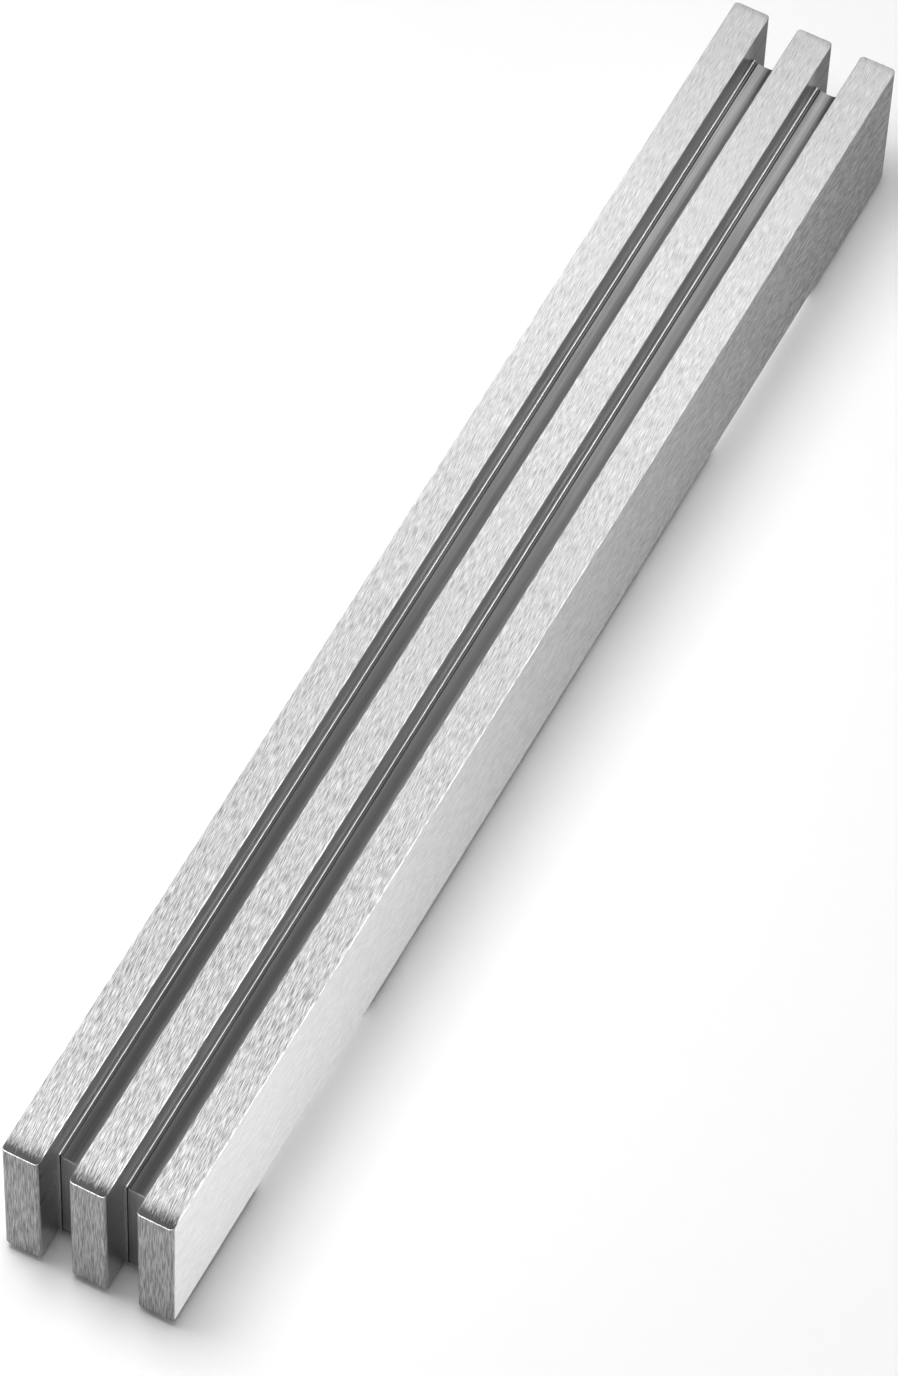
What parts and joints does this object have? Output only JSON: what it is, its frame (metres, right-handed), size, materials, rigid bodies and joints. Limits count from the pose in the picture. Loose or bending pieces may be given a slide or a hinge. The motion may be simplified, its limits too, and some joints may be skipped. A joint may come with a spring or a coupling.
{
  "type": "magnetic knife rack",
  "caption": "Wall-hung magnetic knife rack: parallel brushed-steel bars on edge joined by recessed magnet channels, with keyhole plates across the back.",
  "frame": {"origin": "middle of the back face of the hanger plates, at the rack's mid length and mid width", "axes": "+X along the bars to the right end as the rack hangs, +Y towards the top bar, +Z out of the knife face"},
  "size_m": [0.41, 0.049, 0.051],
  "materials": {
    "brushed_bar": "ferritic stainless steel, brushed lengthwise",
    "brushed_cap": "ferritic stainless steel, end-ground and brushed from front to back",
    "channel_sheet": "cold-rolled stainless sheet, smooth, with fine lengthwise draw lines",
    "channel_plug": "smooth dark stainless block",
    "cover_strip": "dark stainless strip, smooth, with fine lengthwise draw lines",
    "back_sheet": "mill-finish stainless sheet",
    "screw_steel": "bright machined stainless steel",
    "ferrite": "sintered ferrite, dull dark grey",
    "carrier_plastic": "moulded black nylon"
  },
  "bodies": {
    "root": {"top_bar_shell": "brushed_bar", "middle_bar_shell": "brushed_bar", "bottom_bar_shell": "brushed_bar", "top_bar_left_cap": "brushed_cap", "top_bar_right_cap": "brushed_cap", "middle_bar_left_cap": "brushed_cap", "middle_bar_right_cap": "brushed_cap", "bottom_bar_left_cap": "brushed_cap", "bottom_bar_right_cap": "brushed_cap", "upper_channel": "channel_sheet", "lower_channel": "channel_sheet", "upper_left_plug": "channel_plug", "upper_right_plug": "channel_plug", "lower_left_plug": "channel_plug", "lower_right_plug": "channel_plug", "upper_magnet_carrier": "carrier_plastic", "lower_magnet_carrier": "carrier_plastic", "upper_magnet_1": "ferrite", "upper_magnet_2": "ferrite", "upper_magnet_3": "ferrite", "upper_magnet_4": "ferrite", "upper_magnet_5": "ferrite", "upper_magnet_6": "ferrite", "upper_magnet_7": "ferrite", "lower_magnet_1": "ferrite", "lower_magnet_2": "ferrite", "lower_magnet_3": "ferrite", "lower_magnet_4": "ferrite", "lower_magnet_5": "ferrite", "lower_magnet_6": "ferrite", "lower_magnet_7": "ferrite", "upper_cover_strip": "cover_strip", "lower_cover_strip": "cover_strip", "left_hanger_plate": "back_sheet", "right_hanger_plate": "back_sheet", "left_plate_screws": "screw_steel", "right_plate_screws": "screw_steel", "left_nut_blocks": "screw_steel", "right_nut_blocks": "screw_steel"}
  },
  "joints": []
}
